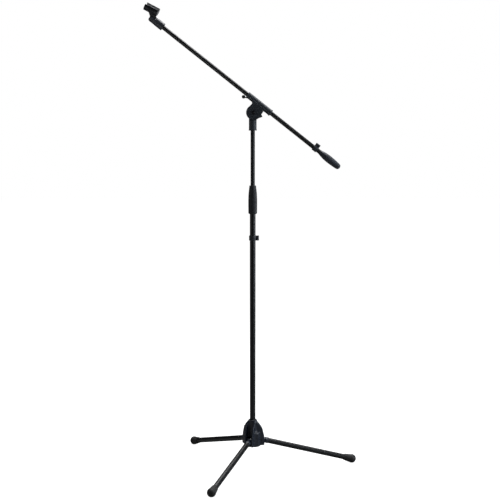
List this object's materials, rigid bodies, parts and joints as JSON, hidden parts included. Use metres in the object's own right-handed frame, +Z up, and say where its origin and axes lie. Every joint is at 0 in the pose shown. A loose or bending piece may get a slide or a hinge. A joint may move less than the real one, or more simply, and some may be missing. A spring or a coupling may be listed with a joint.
{
  "type": "boom microphone stand",
  "caption": "Folding tripod microphone stand with a telescopic mast, a tilting counterbalanced boom, an open-topped microphone clip and cable clips.",
  "frame": {"origin": "on the floor, under the mast's axis, in the middle of the three feet", "axes": "+Z up the mast; -X towards the microphone end of the boom, which lies in the XZ plane; -Y towards the front"},
  "size_m": [0.7496, 0.6537, 1.6352],
  "materials": {
    "black_coat": "satin powder coat",
    "casting": "satin coat on a fine cast grain",
    "hub_plastic": "moulded, light satin",
    "grip_rubber": "soft, dimpled",
    "end_rubber": "soft, dimpled",
    "foot_rubber": "matt rubber",
    "clip_plastic": "moulded",
    "holder_plastic": "smooth moulded, light sheen",
    "knob_plastic": "moulded",
    "inner_plastic": "nylon",
    "steel": "zinc plated",
    "dark_steel": "blackened",
    "brass": "turned"
  },
  "bodies": {
    "base": {"hub_housing": "hub_plastic", "hub_cover": "hub_plastic", "centre_screw": "steel", "tube_plug": "brass", "leg_pins": "dark_steel", "lower_tube": "black_coat", "clutch_base": "inner_plastic", "mast_cable_clip": "clip_plastic"},
    "leg_right": {"knuckle_right": "hub_plastic", "leg_tube_right": "black_coat", "foot_right": "foot_rubber"},
    "leg_back": {"knuckle_back": "hub_plastic", "leg_tube_back": "black_coat", "foot_back": "foot_rubber"},
    "leg_front": {"knuckle_front": "hub_plastic", "leg_tube_front": "black_coat", "foot_front": "foot_rubber"},
    "collet_ring": {"collet": "inner_plastic"},
    "clutch_ring": {"clutch_core": "inner_plastic", "clutch_rubber": "grip_rubber"},
    "upper_mast": {"upper_tube": "black_coat", "slide_bush": "inner_plastic", "joint_stem": "casting", "stem_screw": "dark_steel", "friction_washers": "inner_plastic"},
    "saddle": {"saddle_casting": "casting", "pivot_bolt": "dark_steel"},
    "tilt_lever": {"pivot_lever": "knob_plastic", "lever_insert": "brass"},
    "clamp_knob": {"clamp_screw": "steel", "clamp_handle": "steel", "handle_balls": "knob_plastic"},
    "boom_bush": {"boom_liner": "inner_plastic"},
    "boom": {"boom_tube": "black_coat", "boom_cable_clip": "clip_plastic", "end_grip": "end_rubber", "counterweight_slug": "steel", "thread_stud": "steel"},
    "clip_mount": {"clip_base": "clip_plastic", "brass_insert": "brass", "clip_screw": "dark_steel", "clip_nut": "dark_steel"},
    "mic_clip": {"clip_holder": "holder_plastic"}
  },
  "joints": [
    {"name": "leg_right_fold", "type": "hinge", "parent": "base", "child": "leg_right", "pos_m": [0.02674, 0.00371, 0.10004], "axis": [0.1374, -0.9905, 0], "range_deg": [0, 103]},
    {"name": "leg_back_fold", "type": "hinge", "parent": "base", "child": "leg_back", "pos_m": [-0.01659, 0.02131, 0.10004], "axis": [0.7891, 0.6143, 0], "range_deg": [0, 103]},
    {"name": "leg_front_fold", "type": "hinge", "parent": "base", "child": "leg_front", "pos_m": [-0.01016, -0.02502, 0.10004], "axis": [-0.9265, 0.3762, 0], "range_deg": [0, 103]},
    {"name": "mast_swivel", "type": "hinge", "parent": "base", "child": "collet_ring", "pos_m": [0, 0, 0.995], "axis": [0, 0, 1], "continuous": true},
    {"name": "mast_height", "type": "slide", "parent": "collet_ring", "child": "upper_mast", "axis": [0, 0, 1], "range_m": [-0.18, 0.45]},
    {"name": "clutch_turn", "type": "hinge", "parent": "base", "child": "clutch_ring", "pos_m": [0, 0, 0.96], "axis": [0, 0, 1], "range_deg": [0, 270]},
    {"name": "boom_tilt", "type": "hinge", "parent": "upper_mast", "child": "saddle", "pos_m": [0.003, 0, 1.26], "axis": [0, 1, 0], "range_deg": [-100, 45]},
    {"name": "tilt_lever_turn", "type": "hinge", "parent": "saddle", "child": "tilt_lever", "pos_m": [0.003, 0, 1.26], "axis": [0, 1, 0], "range_deg": [0, 150]},
    {"name": "clamp_turn", "type": "hinge", "parent": "saddle", "child": "clamp_knob", "pos_m": [-0.01153, 0, 1.31098], "axis": [0, 1, 0], "range_deg": [0, 150]},
    {"name": "boom_roll", "type": "hinge", "parent": "saddle", "child": "boom_bush", "pos_m": [0.025, 0, 1.28786], "axis": [-0.7848, 0, 0.6198], "continuous": true},
    {"name": "boom_slide", "type": "slide", "parent": "boom_bush", "child": "boom", "axis": [-0.7848, 0, 0.6198], "range_m": [-0.366, 0.18]},
    {"name": "clip_turn", "type": "hinge", "parent": "boom", "child": "clip_mount", "pos_m": [-0.33129, 0, 1.56924], "axis": [-0.7848, 0, 0.6198], "continuous": true},
    {"name": "clip_tilt", "type": "hinge", "parent": "clip_mount", "child": "mic_clip", "pos_m": [-0.34463, 0, 1.57977], "axis": [-0.3099, -0.866, -0.3924], "range_deg": [-20, 95]}
  ]
}
